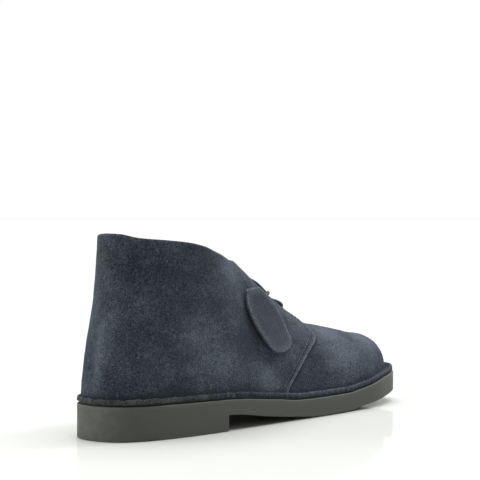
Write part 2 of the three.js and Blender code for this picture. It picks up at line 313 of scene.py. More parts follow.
widest = {way: max(row[LAST_COLUMNS.index(way)] for row in LAST) for way in ("lateral", "medial")}
ORIGIN = np.array([LENGTH / 2, (widest["medial"] - widest["lateral"]) / 2, 0])  # middle of the footprint
SNAP_SHARE = 0.35


def world(points):
    return (np.asarray(points, float) - ORIGIN) / 1000


def placed(name, data):
    """A new object in the scene with this mesh, light or camera."""
    obj = bpy.data.objects.new(name, data)
    bpy.context.scene.collection.objects.link(obj)
    return obj


def plain_object(name, points, faces):
    mesh = bpy.data.meshes.new(name)
    mesh.from_pydata(world(points).tolist(), [], [tuple(f) for f in faces])
    mesh.update()
    return placed(name, mesh)


def mesh_object(name, points, faces, material, replaces=()):
    obj = plain_object(name, points, faces)
    obj.data.polygons.foreach_set("use_smooth", [True] * len(obj.data.polygons))
    obj.data.materials.append(material)
    obj.data.update()
    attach(obj, "root")
    if replaces:
        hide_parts(*replaces)
    return obj


def normals_of(points, faces):
    tri = points[faces]
    face = np.cross(tri[:, 1] - tri[:, 0], tri[:, 2] - tri[:, 0])
    out = np.zeros_like(points)
    for k in range(3):
        np.add.at(out, faces[:, k], face)
    return out / np.maximum(np.linalg.norm(out, axis=1, keepdims=True), 1e-12)


def weld(points):
    """The first of each set of points that lie together, and each point's place among them."""
    _, first, place = np.unique(np.round(points, 3), axis=0, return_index=True, return_inverse=True)
    return first, place.ravel()


def clipped_grid(us, vs, keep):
    """A triangle mesh of the (u, v) grid where keep(u, v) is positive, cut cleanly along its zero line.

    Grid points within SNAP_SHARE of an edge from the line are moved onto it.
    """
    count = len(vs)
    uv = np.stack(np.meshgrid(us, vs, indexing="ij"), axis=-1).reshape(-1, 2)
    field = keep(uv[:, 0], uv[:, 1])
    ids = np.arange(len(uv)).reshape(len(us), count)
    edges = np.concatenate(
        [
            np.stack([ids[:-1].ravel(), ids[1:].ravel()], 1),
            np.stack([ids[:, :-1].ravel(), ids[:, 1:].ravel()], 1),
        ]
    )
    edges = np.concatenate([edges, edges[:, ::-1]])
    a, b = edges.T
    crosses = field[a] * field[b] < 0
    a, b = a[crosses], b[crosses]
    share = field[a] / (field[a] - field[b])
    order = np.argsort(-share)
    a, b, share = a[order], b[order], share[order]
    snapped = uv.copy()
    near = share < SNAP_SHARE
    snapped[a[near]] = uv[a[near]] + (uv[b[near]] - uv[a[near]]) * share[near, None]
    field[a[near]] = 0.0
    uv = snapped
    quads = np.stack([ids[:-1, :-1], ids[1:, :-1], ids[1:, 1:], ids[:-1, 1:]], -1).reshape(-1, 4)
    tris = np.concatenate([quads[:, [0, 1, 2]], quads[:, [0, 2, 3]]])
    sign = field[tris]
    whole = tris[(sign >= 0).all(1) & (sign > 0).any(1)]
    mixed = tris[(sign > 0).any(1) & (sign < 0).any(1)]
    extra = []
    made = {}
    parts = []
    for tri in mixed:
        ring = []
        for i in range(3):
            p, q = int(tri[i]), int(tri[(i + 1) % 3])
            if field[p] >= 0:
                ring.append(p)
            if field[p] * field[q] < 0:
                key = (min(p, q), max(p, q))
                if key not in made:
                    made[key] = len(uv) + len(extra)
                    extra.append(uv[p] + (uv[q] - uv[p]) * field[p] / (field[p] - field[q]))
                ring.append(made[key])
        parts.extend([ring[0], ring[i], ring[i + 1]] for i in range(1, len(ring) - 1))
    uv = np.concatenate([uv, np.array(extra).reshape(-1, 2)])
    faces = np.concatenate([whole, np.array(parts, int).reshape(-1, 3)])
    used, faces = np.unique(faces, return_inverse=True)
    return uv[used], faces.reshape(-1, 3)


def value_noise(points, scale, seed):
    """Smooth noise about 0 at each point; scale is the size of its lumps."""
    shift = Vector((seed * 7.3, seed * 3.1, seed * 5.7))
    return np.array([noise.noise(Vector(p) / scale + shift) for p in points])


def rounded_ring(turns):
    """Turns and sides of a loop round the shoe: by the lateral edge to the toe, and back by the medial."""
    turn = np.concatenate([turns, turns[-2:0:-1]])
    side = np.concatenate([-np.ones(len(turns)), np.ones(len(turns) - 2)])
    return turn, side


def band(low, high, count):
    """The faces between two loops of count points, the first points of which are low and high."""
    following = [*range(1, count), 0]
    return [(low + i, low + j, high + j, high + i) for i, j in enumerate(following)]


def tube(start, rings, count):
    """The faces of a tube with closed ends: rings loops of count points each, from the point start on."""
    end = start + (rings - 1) * count
    faces = [face for low in range(start, end, count) for face in band(low, low + count, count)]
    return [*faces, tuple(reversed(range(start, start + count))), tuple(range(end, end + count))]


def stack(levels, turns):
    """A closed body of outline loops from low to high.

    levels: (inset, height) of each loop, inset a function of the turn and height of the turn and x.
    """
    turn, side = rounded_ring(turns)
    loops = []
    for inset, height in levels:
        x, middle, half = outline(turn, inset)
        loops.append(np.stack([x, middle + side * half, height(turn, x)], -1))
    count = len(turn)
    faces = []
    for k in range(len(levels) - 1):
        faces += band(k * count, (k + 1) * count, count)
    top = (len(levels) - 1) * count
    half_way = len(turns) - 1
    for i in range(half_way):
        p, q = (count - i) % count, count - i - 1
        low = list(dict.fromkeys([i, p, q, i + 1]))
        faces.append(tuple(low))
        faces.append(tuple(top + v for v in reversed(low)))
    return np.concatenate(loops), faces


def apply_modifiers(obj):
    """Fixes the modifiers of an object into its mesh."""
    depsgraph = bpy.context.evaluated_depsgraph_get()
    mesh = bpy.data.meshes.new_from_object(obj.evaluated_get(depsgraph))
    obj.modifiers.clear()
    obj.data = mesh


# -------------------- materials


class Shader:
    """A node material built up call by call around one Principled BSDF."""

    def __init__(self, name, **sockets):
        self.material = bpy.data.materials.new(name)
        self.material.use_nodes = True
        self.nodes = self.material.node_tree.nodes
        self.links = self.material.node_tree.links
        self.bsdf = self.nodes["Principled BSDF"]
        self.place = self.nodes.new("ShaderNodeTexCoord").outputs["Object"]
        self.height = None
        for socket, value in sockets.items():
            self.bsdf.inputs[socket.replace("_", " ")].default_value = value

    def feed(self, socket, value):
        if isinstance(value, bpy.types.NodeSocket):
            self.links.new(value, socket)
        else:
            socket.default_value = value

    def noise(self, size, detail=2.0, roughness=0.5, stretch=(1, 1, 1)):
        """Noise from 0 to 1 with lumps of about size millimetres."""
        mapping = self.nodes.new("ShaderNodeMapping")
        mapping.inputs["Scale"].default_value = stretch
        self.links.new(self.place, mapping.inputs["Vector"])
        node = self.nodes.new("ShaderNodeTexNoise")
        node.inputs["Scale"].default_value = 1000 / size
        node.inputs["Detail"].default_value = detail
        node.inputs["Roughness"].default_value = roughness
        self.links.new(mapping.outputs["Vector"], node.inputs["Vector"])
        return node.outputs["Fac"]

    def attribute(self, name):
        node = self.nodes.new("ShaderNodeAttribute")
        node.attribute_name = name
        return node.outputs["Fac"]

    def math(self, operation, a, b=0.0):
        node = self.nodes.new("ShaderNodeMath")
        node.operation = operation
        self.feed(node.inputs[0], a)
        self.feed(node.inputs[1], b)
        return node.outputs[0]

    def total(self, *shares):
        """The sum of (value, weight) pairs."""
        result = 0.0
        for value, weight in shares:
            result = self.math("ADD", self.math("MULTIPLY", value, weight), result)
        return result

    def ramp(self, value, low, high, start=0.0, end=1.0):
        node = self.nodes.new("ShaderNodeMapRange")
        node.interpolation_type = "SMOOTHSTEP"
        settings = {"Value": value, "From Min": low, "From Max": high, "To Min": start, "To Max": end}
        for socket, setting in settings.items():
            self.feed(node.inputs[socket], setting)
        return node.outputs["Result"]

    def mix(self, factor, a, b):
        node = self.nodes.new("ShaderNodeMix")
        node.data_type = "RGBA"
        self.feed(node.inputs[0], factor)
        self.feed(node.inputs[6], a)
        self.feed(node.inputs[7], b)
        return node.outputs[2]

    def colour(self, value):
        self.feed(self.bsdf.inputs["Base Color"], value)

    def rough(self, value):
        self.feed(self.bsdf.inputs["Roughness"], value)

    def bump(self, value, depth, strength=1.0):
        """Raises the surface by up to depth millimetres."""
        node = self.nodes.new("ShaderNodeBump")
        node.inputs["Strength"].default_value = strength
        node.inputs["Distance"].default_value = depth / 1000
        self.feed(node.inputs["Height"], value)
        if self.height:
            self.links.new(self.height, node.inputs["Normal"])
        self.height = node.outputs["Normal"]
        self.links.new(self.height, self.bsdf.inputs["Normal"])


NAVY_DARK = (0.0150, 0.0182, 0.0245, 1)
NAVY = (0.0385, 0.0468, 0.0605, 1)
NAVY_PALE = (0.0930, 0.1110, 0.1380, 1)
NAVY_RUBBED_AND_HIGHLIGHT = (0.170, 0.205, 0.245, 1)


def suede(name, dark=NAVY_DARK, middle=NAVY, pale=NAVY_PALE, rubbed=NAVY_RUBBED_AND_HIGHLIGHT):
    """Napped suede: blotched where the nap lies one way or the other, lighter and darker with its shade
    attribute, which carries painted light and shade besides the nap's tone, and paler where it is rubbed and
    where a highlight is painted on.
    """
    paint = Shader(name, Roughness=1.0, Specular_IOR_Level=0.12, Sheen_Weight=0.10, Sheen_Roughness=0.5)
    paint.bsdf.inputs["Sheen Tint"].default_value = (0.62, 0.72, 0.9, 1)
    blotch = paint.noise(30, 3, 0.6, (0.75, 1, 1.1))
    patch = paint.noise(8, 3, 0.6, (0.75, 1, 1.1))
    fleck = paint.noise(1.9, 3, 0.75)
    nap = paint.noise(0.8, 1, 0.5)
    # the shade attribute: the nap's own tone together with painted light and painted shade
    lift = paint.attribute("shade")
    shade = paint.total((blotch, 0.22), (patch, 0.14), (fleck, 0.24), (nap, 0.40), (lift, 1.0))
    lifted = paint.mix(paint.ramp(shade, 0.40, 0.53), dark, middle)
    lifted = paint.mix(paint.ramp(shade, 0.50, 0.66), lifted, pale)
    # rubbed places, and the painted highlight along the quarters' front edge, made patchy
    patchiness = paint.ramp(paint.noise(1.5, 3, 0.75), 0.30, 0.66)
    rubbing_and_highlight = paint.math("MULTIPLY", paint.attribute("rub"), patchiness)
    paint.colour(paint.mix(rubbing_and_highlight, lifted, rubbed))
    paint.bump(patch, 0.5, 0.35)
    paint.bump(fleck, 0.45, 0.8)
    paint.bump(nap, 0.42, 1.0)
    return paint.material


def raw_edge(name, dark, pale):
    """The cut edge of the leather, with loose fibres."""
    paint = Shader(name, Roughness=1.0, Specular_IOR_Level=0.1)
    fibre = paint.noise(0.9, 4, 0.75)
    tone = paint.total((fibre, 0.7), (paint.noise(7, 2), 0.3))
    paint.colour(paint.mix(paint.ramp(tone, 0.34, 0.66), dark, pale))
    paint.bump(fibre, 0.5, 0.9)
    return paint.material


def leather(name, dark, pale, roughness=0.6):
    paint = Shader(name, Specular_IOR_Level=0.3)
    grain = paint.noise(1.1, 3, 0.6)
    tone = paint.total((paint.noise(26, 3), 0.6), (grain, 0.4))
    paint.colour(paint.mix(paint.ramp(tone, 0.35, 0.65), dark, pale))
    paint.rough(paint.ramp(tone, 0.3, 0.7, roughness - 0.08, roughness + 0.1))
    paint.bump(grain, 0.12, 0.6)
    return paint.material


def rubber(name, dark, pale, scuffed):
    """Matt moulded rubber with faint flow marks, a fine grain, and dusty scuffs along its edges."""
    paint = Shader(name, Specular_IOR_Level=0.35)
    flow = paint.noise(24, 3, 0.5, (1, 1, 2.2))
    grain = paint.noise(0.55, 2, 0.6)
    tone = paint.total((flow, 0.7), (paint.noise(3, 3, 0.6), 0.3))
    base = paint.mix(paint.ramp(tone, 0.35, 0.65), dark, pale)
    dust = paint.math("MULTIPLY", paint.attribute("rub"), paint.ramp(paint.noise(5, 4, 0.6), 0.1, 0.8))
    paint.colour(paint.mix(dust, base, scuffed))
    paint.rough(paint.ramp(tone, 0.3, 0.7, 0.52, 0.68))
    paint.bump(paint.noise(9, 2), 0.25, 0.3)
    paint.bump(grain, 0.05, 0.6)
    return paint.material


def thread(name, dark, pale):
    paint = Shader(name, Roughness=0.85, Specular_IOR_Level=0.2, Sheen_Weight=0.2)
    fibre = paint.noise(0.35, 2, 0.7)
    paint.colour(paint.mix(paint.ramp(fibre, 0.3, 0.7), dark, pale))
    paint.bump(fibre, 0.08, 0.8)
    return paint.material


SUEDE = suede("suede")
FLESH = suede(
    "suede_flesh_side",
    (0.028, 0.032, 0.040, 1),
    (0.048, 0.054, 0.064, 1),
    (0.085, 0.092, 0.105, 1),
)
EDGE = raw_edge("suede_raw_edge", (0.040, 0.047, 0.058, 1), (0.165, 0.180, 0.205, 1))
FOB_SUEDE = suede(
    "suede_fob",
    (0.028, 0.031, 0.041, 1),
    (0.041, 0.045, 0.058, 1),
    (0.062, 0.068, 0.086, 1),
    (0.165, 0.176, 0.205, 1),
)
CUT = raw_edge("flange_raw_edge", (0.016, 0.019, 0.020, 1), (0.088, 0.096, 0.094, 1))
SOCK = leather("insole_leather", (0.27, 0.18, 0.10, 1), (0.36, 0.25, 0.15, 1))
RUBBER = rubber("sole_rubber", (0.049, 0.054, 0.047, 1), (0.057, 0.062, 0.054, 1), (0.120, 0.123, 0.106, 1))
STRIP = rubber("midsole_strip", (0.016, 0.018, 0.017, 1), (0.032, 0.036, 0.033, 1), (0.05, 0.05, 0.045, 1))
COTTON = thread("lace_cotton", (0.012, 0.015, 0.024, 1), (0.035, 0.042, 0.060, 1))
STITCH = thread("stitching", (0.040, 0.048, 0.062, 1), (0.110, 0.130, 0.160, 1))
DARK_STITCH = thread("stitching_sole", (0.012, 0.014, 0.018, 1), (0.035, 0.040, 0.048, 1))

# -------------------- relief of the leather

# Soft troughs and ridges on the upper: a line from one point to another seen from the side.
CREASES = [  # from x, from z, to x, to z, side (-1 lateral, 1 medial), half-width, height
    (112, 92, 136, 40, -1, 16, -0.9),
    (60, 112, 66, 72, -1, 20, 0.7),
    (88, 108, 100, 60, -1, 15, 0.8),
    (30, 96, 36, 50, -1, 18, -0.5),
    (158, 60, 178, 30, -1, 11, -0.5),
    (206, 52, 214, 26, -1, 9, -0.55),
    (224, 50, 236, 30, -1, 10, 0.5),
    (104, 96, 128, 46, 1, 15, -0.8),
    (60, 108, 70, 60, 1, 18, 0.6),
    (170, 56, 190, 30, 1, 12, -0.6),
    (204, 54, 222, 30, 1, 9, -0.6),
    (150, 40, 186, 24, 1, 12, 0.5),
]

# Lighter and, below 0, darker places on the upper, seen from the side: partly the nap's own tone and partly
# painted light and shade, among them the painted shadow of the fob at (112, 62) and painted light on the toe
# at (262, 48) and (216, 54).
NAP_AND_PAINTED_LIGHT_PATCHES = [  # x, z, side, reach along, reach up, how much lighter
    (60, 58, -1, 16, 14, 0.085),
    (80, 46, -1, 18, 10, 0.080),
    (126, 35, -1, 20, 8, 0.075),
    (112, 62, -1, 16, 18, -0.100),
    (128, 26, -1, 12, 7, 0.085),
    (98, 100, -1, 10, 6, 0.040),
    (58, 104, -1, 30, 9, -0.045),
    (80, 76, -1, 14, 14, -0.035),
    (44, 28, -1, 16, 6, -0.075),
    (96, 26, -1, 22, 5, -0.070),
    (152, 32, -1, 9, 9, -0.060),
    (176, 26, -1, 22, 8, -0.085),
    (184, 38, -1, 8, 6, -0.070),
    (214, 38, -1, 22, 10, 0.085),
    (262, 48, -1, 18, 8, 0.140),
    (216, 54, -1, 18, 7, 0.090),
    (262, 30, -1, 20, 5, -0.045),
    (66, 60, 1, 24, 16, 0.060),
    (120, 40, 1, 26, 10, 0.060),
    (100, 90, 1, 16, 12, 0.050),
    (176, 30, 1, 22, 8, -0.070),
    (226, 44, 1, 22, 10, 0.055),
    (52, 30, 1, 20, 7, -0.060),
]


def crease_relief(points, middle):
    """Height of the creases at points, in millimetres."""
    x, y, z = points.T
    total = np.zeros(len(points))
    for from_x, from_z, to_x, to_z, way, width, height in CREASES:
        run = np.array([to_x - from_x, to_z - from_z], float)
        length = np.hypot(*run)
        share = clamp(((x - from_x) * run[0] + (z - from_z) * run[1]) / length**2)
        away = np.hypot(x - from_x - share * run[0], z - from_z - share * run[1])
        side = smooth((y - middle) * way / 16)
        total += side * height * close_to(away, width)
    return total


# Painted light and shade on the upper, together with the nap's own lighter and darker places.
def nap_and_painted_light(points, middle):
    x, y, z = points.T
    total = np.zeros(len(points))
    for px, pz, way, along, up, lift in NAP_AND_PAINTED_LIGHT_PATCHES:
        away = ((x - px) / along) ** 2 + ((z - pz) / up) ** 2
        total += smooth((y - middle) * way / 14 + 0.4) * 0.8 * lift * np.exp(-away)
    return total


def heel_rub(points):
    """The ridge up the back of the heel where the nap is rubbed."""
    x, y, z = points.T
    behind = 1 - smooth((x - heel_forward(z) - 5) / 5)
    rubbed = 0.4 * behind * smooth((z - 26) / 10) * (1 - smooth((z - 64) / 18))
    return rubbed * close_to(y + 1.5, 3.6)


def set_attribute(obj, name, values):
    layer = obj.data.attributes.new(name, "FLOAT", "POINT")
    layer.data.foreach_set("value", np.asarray(values, np.float32))


# -------------------- upper


def behind_edge(x, z):
    """How far a place is behind the quarters' front edge."""
    slope = quarter_front(z + 0.5) - quarter_front(z - 0.5)
    return (quarter_front(z) - x) / np.sqrt(1 + np.minimum(np.abs(slope), 2) ** 2)


def throat_room(x, y):
    """How far a place is outside the throat, seen from above."""
    rear, front = THROAT[0][0], THROAT[-1][0]
    beside = np.maximum(throat_lateral(x) - y, y - throat_medial(x))
    nose = np.hypot(x - front, y - THROAT_Y) - (THROAT[-1][2] - THROAT_Y)
    return np.where(x < front, np.maximum(beside, rear - x), nose)


def eyelet_room(points):
    centres = [over(np.array([x]), np.array([y]), QUARTER_RISE)[0] for x, y in EYELETS]
    away = [np.linalg.norm(points - centre, axis=1) for centre in centres]
    return np.min(away, axis=0) - EYELET_RADIUS


def opening_room(points):
    x, y, z = points.T
    return soft_min(collar_height(x) - z, throat_room(x, y), blend=4.0)


def side_of(angle):
    return np.sign(angle) * (1 - np.cos(angle))


def leather_sheet(name, turns, angles, grow, keep, tone):
    """A cut sheet of the upper's leather, grow millimetres over the last, with its relief and its nap.

    tone: gives, for points, how much lighter the sheet is there, for the nap's tone and for painted light and
    shade, and how rubbed, with a painted highlight along the quarters' front edge.
    """

    def read(turn, angle):
        return form(turn, side_of(angle), grow)

    uv, faces = clipped_grid(turns, angles, lambda turn, angle: keep(read(turn, angle)))
    first, place = weld(read(*uv.T))
    turn, angle = uv[first].T
    faces = place[faces]
    faces = faces[(faces != np.roll(faces, 1, axis=1)).all(1)]
    points = read(turn, angle)
    normals = normals_of(points, faces)
    middle = outline(turn, lambda t: last["ledge"](t))[1]
    over_sole = points[:, 2] - feather(points[:, 0])
    relief = crease_relief(points, middle) * smooth(over_sole / 12)
    relief += 0.30 * value_noise(points, 26, 1) + 0.16 * value_noise(points, 9, 2)
    relief += 0.09 * value_noise(points, 2.6, 3) + 0.05 * value_noise(points, 1.3, 4)
    relief += 0.9 * close_to(over_sole, 2.2)  # the bend into the flange
    obj = mesh_object(name, points + normals * relief[:, None], faces, SUEDE, ["upper"])
    lighter, rubbed = tone(points)
    # painted shade along the foot of the upper, where it bends down into the flange
    painted_shade_at_flange = -0.12 * close_to(over_sole - 1.5, 2.2)
    set_attribute(obj, "shade", nap_and_painted_light(points, middle) + painted_shade_at_flange + lighter)
    set_attribute(obj, "rub", np.maximum(heel_rub(points), rubbed))
    return obj, points


def thicken(obj, thickness, group=None, least=1.0):
    """Gives a sheet its thickness inwards, with the flesh side within and a raw edge round it.

    group: how much of the thickness each point gets, if not all of it, from 0 (the share least) to 1.
    """
    obj.data.materials.append(FLESH)
    obj.data.materials.append(EDGE)
    solid = obj.modifiers.new("thickness", "SOLIDIFY")
    solid.thickness = thickness / 1000
    solid.offset = -1
    solid.use_even_offset = True
    solid.material_offset = 1
    solid.material_offset_rim = 2
    if group is not None:
        weights = obj.vertex_groups.new(name="thickness")
        for index, weight in enumerate(group):
            weights.add([index], float(weight), "REPLACE")
        solid.vertex_group = "thickness"
        solid.thickness_vertex_group = least


def quarters():
    def keep(points):
        x, _, z = points.T
        room = soft_min(opening_room(points), behind_edge(x, z), blend=1.0)
        return np.minimum(room, eyelet_room(points))

    def tone(points):
        x, _, z = points.T
        # front: a pale line along the front edge, painted highlight on the paler cut fibres; rim: the paler
        # raw rim of the opening
        front = close_to(behind_edge(x, z), 1.3)
        rim = close_to(opening_room(points), 1.0)
        return 0.04 * rim, 0.95 * front + 0.16 * rim

    foremost = 192.5
    turns = np.linspace(0, float(turn_over(foremost, 0)), 232)
    angles = np.linspace(-math.pi / 2, math.pi / 2, 330)
    obj, points = leather_sheet("quarters", turns, angles, QUARTER_RISE, keep, tone)
    full = smooth((behind_edge(points[:, 0], points[:, 2]) - VAMP_UNDER - 2) / 6)
    thicken(obj, QUARTER_WALL, full, (QUARTER_RISE - QUARTER_CLEAR) / QUARTER_WALL)
    return obj


def vamp():
    def keep(points):
        x, y, z = points.T
        room = np.minimum(VAMP_UNDER - behind_edge(x, z), throat_room(x, y) - VAMP_CLEAR)
        return np.minimum(room, eyelet_room(points))

    def tone(points):
        x, _, z = points.T
        # painted shade on the vamp just in front of the quarters' edge
        beside = close_to(behind_edge(x, z), 2.6)
        return -0.17 * beside, 0 * x

    rearmost = 127
    turns = np.linspace(float(turn_over(rearmost, 0)), math.pi, 190)
    angles = np.linspace(-math.pi / 2, math.pi / 2, 230)
    obj, _ = leather_sheet("vamp", turns, angles, 0.0, keep, tone)
    thicken(obj, VAMP_WALL)
    return obj


def tongue():
    back, front, half, corner, lowest, margin = 125, 204, 25, 12, 40, 2

    def keep(points):
        x, y, z = points.T
        across = np.abs(y - THROAT_Y) - half
        rear = back - x
        round_corner = np.hypot(np.maximum(across + corner, 0), np.maximum(rear + corner, 0)) - corner
        plan = np.maximum(round_corner, np.minimum(np.maximum(across + corner, rear + corner), 0) - corner)
        return np.minimum(-np.maximum(plan, x - front), z - lowest)

    turns = np.linspace(float(turn_over(back - margin, 0)), float(turn_over(front + margin, 0)), 90)
    angles = np.linspace(-math.pi / 2, math.pi / 2, 190)
    grow = -VAMP_WALL - GAP
    uv, faces = clipped_grid(turns, angles, lambda t, a: keep(form(t, side_of(a), grow)))
    points = form(uv[:, 0], side_of(uv[:, 1]), grow)
    normals = normals_of(points, faces)
    relief = 0.12 * value_noise(points, 12, 5) + 0.06 * value_noise(points, 2.4, 6) - 0.15
    obj = mesh_object("tongue_leather", points + normals * relief[:, None], faces, SUEDE, ["tongue"])
    set_attribute(obj, "shade", np.full(len(points), -0.03))
    thicken(obj, TONGUE_WALL)
    return obj


def channel_inset(turn):
    """How far in from the outline the flange's stitched channel begins."""
    return np.maximum(last["ledge"](turn) - 2.0, 1.7)


def flange():
    """The upper's edge turned out over the midsole: a channel for the stitches, and a rough lip."""
    turns = np.linspace(0, math.pi, 560)
    turn, side = rounded_ring(turns)
    ledge = last["ledge"](turn)
    x0, middle, half = outline(turn, lambda t: FLANGE_INSET + 0 * t)
    rim = np.stack([x0, middle + side * half, feather(x0)], -1)
    wander = 0.40 * value_noise(rim, 5.5, 7) + 0.45 * value_noise(rim, 1.8, 8)
    puff = 0.40 * value_noise(rim, 6, 9) + 0.50 * value_noise(rim, 1.9, 10)
    channel = channel_inset(turn)
    fore = smooth((x0 - 90) / 60)  # 0 round the heel, 1 from the arch on
    droop = 0.7 + 0.3 * fore  # over the heel the strip below it shows
    profile = [  # inset, height over the feather line, shares of the wander and the puff, rubbing, and painted shade: darkest in the stitched channel, under the lip and beneath the upper
        (ledge + 1.2, 0.1, 0, 0, 0, -0.2),
        (ledge + 0.9, 1.3, 0, 0, 0, -0.2),
        (ledge - 0.3, 1.3, 0, 0.2, 0, -0.2),
        (channel + 1.15, 1.1, 0, 0.3, 0, -0.24),
        (channel + 0.75, 0.95, 0, 0.3, 0, -0.24),
        (channel + 0.35, 1.3, 0.1, 0.6, 0, -0.2),
        (channel - 0.1, 1.8, 0.2, 1, 0.05, -0.08),
        ((channel + FLANGE_INSET) / 2, 1.95, 0.5, 1, 0.2, -0.01),
        (FLANGE_INSET + 0.3, 1.75, 0.8, 1, 0.6, 0.02),
        (FLANGE_INSET, 1.2, 1, 0.7, 0.4, -0.01),
        (FLANGE_INSET - 0.05, 0.5, 1, 0.4, 0.15, -0.03),
        (FLANGE_INSET - 0.05, -0.3, 1, 0.4, 0.1, -0.04),
        (FLANGE_INSET, -1.1, 1, 0.7, 0.05, -0.1),
        (FLANGE_INSET + 0.35, -1.5, 1, 0.8, 0, -0.2),
        (FLANGE_INSET + 0.9, -0.9, 0.4, 0.4, 0, -0.2),
        (FLANGE_INSET + 1.2, 0.0, 0.0, 0, 0, -0.2),
    ]
    cut_rows = range(7, 14)
    cut_to, ragged = 78, 30  # the cut edge shows round the heel, up to about this x
    width = (last["lateral"](turn) + last["medial"](turn)) / 2
    loops = []
    for inset, height, wandering, puffing, _, _ in profile:
        drawn = inset + wandering * (wander * (1.5 - 0.5 * fore) - 0.65 + 0.8 * fore)
        level = np.where(height < 0, height * droop, height)
        x = drawn + (LENGTH - 2 * drawn) * (1 - np.cos(turn)) / 2
        half = width * (1 - drawn / np.maximum(width, HEEL_RADIUS))
        loops.append(np.stack([x, middle + side * half, feather(x) + level + puffing * puff], -1))
    count = len(turn)
    rows = len(profile)
    faces = []
    for k in range(rows):
        faces += band(k * count, (k + 1) % rows * count, count)
    points = np.concatenate(loops)
    points += 0.13 * np.stack([value_noise(points, 1.2, seed) for seed in (11, 14, 15)], -1)
    obj = mesh_object("flange", points, faces, SUEDE, ["upper"])
    obj.data.materials.append(CUT)
    at_heel = x0 + ragged * value_noise(rim, 2.5, 16) < cut_to
    cut = np.outer([k in cut_rows for k in range(rows)], at_heel).ravel()
    obj.data.polygons.foreach_set("material_index", cut.astype(np.int32))
    lip = [row[4] for row in profile]
    dark = [row[5] for row in profile]
    # painted shade from the profile, and all of the flange darker round the heel
    set_attribute(obj, "shade", np.add.outer(dark, 0.10 * (fore - 1)).ravel())
    set_attribute(obj, "rub", np.outer(lip, 0.15 + 0.35 * fore).ravel())
    return obj


# -------------------- sole


def rounded_levels(low, high, radius, edge=0.0, rows=5, lower=None):
    """Levels for stack(): a slab from low to high with rounded rims.

    lower: how far in and how far up the lower rim is rolled, if it is not round.
    """
    roll_in, roll_up = lower or (radius, radius)
    angles = np.linspace(math.pi / 2, 0, 5)
    levels = []
    for a in angles:
        bend, lift = roll_in * (1 - math.cos(a)), roll_up * (1 - math.sin(a))
        levels.append((lambda t, b=bend: edge + b + 0 * t, lambda t, x, u=lift: low(x) + u))
    for share in np.linspace(0, 1, rows)[1:-1]:
        mix = lambda t, x, w=share: (low(x) + roll_up) * (1 - w) + (high(x) - radius) * w
        levels.append((lambda t: edge + 0 * t, mix))
    for a in angles[::-1]:
        bend, lift = radius * (1 - math.cos(a)), radius * (1 - math.sin(a))
        levels.append((lambda t, b=bend: edge + b + 0 * t, lambda t, x, u=lift: high(x) - u))
    return levels


def edge_wear(points):
    """How scuffed the rubber is: along its rims, and most at the back of the heel and the toe."""
    x, _, z = points.T
    low = np.where(x < BREAST, 0, sole_bottom(x))
    rim = close_to(z - low, 1.6) * 0.25 + close_to(sole_top(x) - z, 1.2) * 0.15
    ends = (1 - smooth(x / 12)) * 0.55 + smooth((x - 250) / 40) * 0.35
    return clamp(rim + ends * 0.8)


def block(low, high):
    """A plain block from one corner to the other, for cutting."""
    (x0, y0, z0), (x1, y1, z1) = low, high
    points = [(x, y, z) for x in (x0, x1) for y in (y0, y1) for z in (z0, z1)]
    faces = [(0, 1, 3, 2), (4, 6, 7, 5), (0, 4, 5, 1), (2, 3, 7, 6), (0, 2, 6, 4), (1, 5, 7, 3)]
    return points, faces


def boolean(obj, other, operation):
    cut = obj.modifiers.new("cut", "BOOLEAN")
    cut.operation = operation
    cut.solver = "EXACT"
    cut.object = other
    apply_modifiers(obj)
    bpy.data.objects.remove(other, do_unlink=True)


def outsole():
    turns = np.linspace(0, math.pi, 260)
    points, faces = stack(rounded_levels(sole_bottom, sole_top, SOLE_RIM, lower=(4.0, 1.0)), turns)
    obj = mesh_object("outsole_rubber", points, faces, RUBBER, ["outsole"])
    heel_levels = rounded_levels(lambda x: 0 * x, lambda x: HEEL_HEIGHT + 0 * x, SOLE_RIM)
    heel = plain_object("heel", *stack(heel_levels, turns))
    room = plain_object("room", *block((-5, -80, -5), (BREAST, 80, 40)))
    boolean(heel, room, "INTERSECT")
    boolean(obj, heel, "UNION")
    cutters = ([], [])
    for x in GROOVES:
        _, middle, half = outline(turn_at(x), lambda t: 0 * t)
        floor = 0 if x < BREAST else float(sole_bottom(x))
        wide = float(half) - GROOVE_MARGIN
        points, faces = block(
            (x - GROOVE_WIDTH / 2, float(middle) - wide, -3),
            (x + GROOVE_WIDTH / 2, float(middle) + wide, floor + GROOVE_DEPTH),
        )
        cutters[1].extend(tuple(v + len(cutters[0]) for v in face) for face in faces)
        cutters[0].extend(points)
    boolean(obj, plain_object("grooves", *cutters), "DIFFERENCE")
    local = np.array([v.co[:] for v in obj.data.vertices]) * 1000 + ORIGIN
    set_attribute(obj, "rub", edge_wear(local))
    obj.data.polygons.foreach_set("use_smooth", [True] * len(obj.data.polygons))
    obj.data.set_sharp_from_angle(angle=math.radians(35))
    return obj


def midsole():
    turns = np.linspace(0, math.pi, 260)
    low = lambda x: sole_top(x) + GAP * 0.3
    high = lambda x: feather(x) - GAP * 0.3
    points, faces = stack(rounded_levels(low, high, STRIP_RIM, edge=MIDSOLE_INSET, rows=3), turns)
    obj = mesh_object("midsole_strip", points, faces, STRIP, ["midsole"])
    set_attribute(obj, "rub", np.zeros(len(points)))
    return obj


def insole():
    turns = np.linspace(0, math.pi, 200)
    inset = lambda t: last["ledge"](t) + VAMP_WALL + 3 * GAP
    low = lambda t, x: feather(x) + 0.1
    levels = [
        (inset, low),
        (inset, lambda t, x: feather(x) + INSOLE - 1.0),
        (lambda t: inset(t) + 0.4, lambda t, x: feather(x) + INSOLE - 0.3),
        (lambda t: inset(t) + 1.6, lambda t, x: feather(x) + INSOLE),
    ]
    points, faces = stack(levels, turns)
    return mesh_object("insole_sock", points, faces, SOCK, ["insole"])


# -------------------- stitches, lace and fob


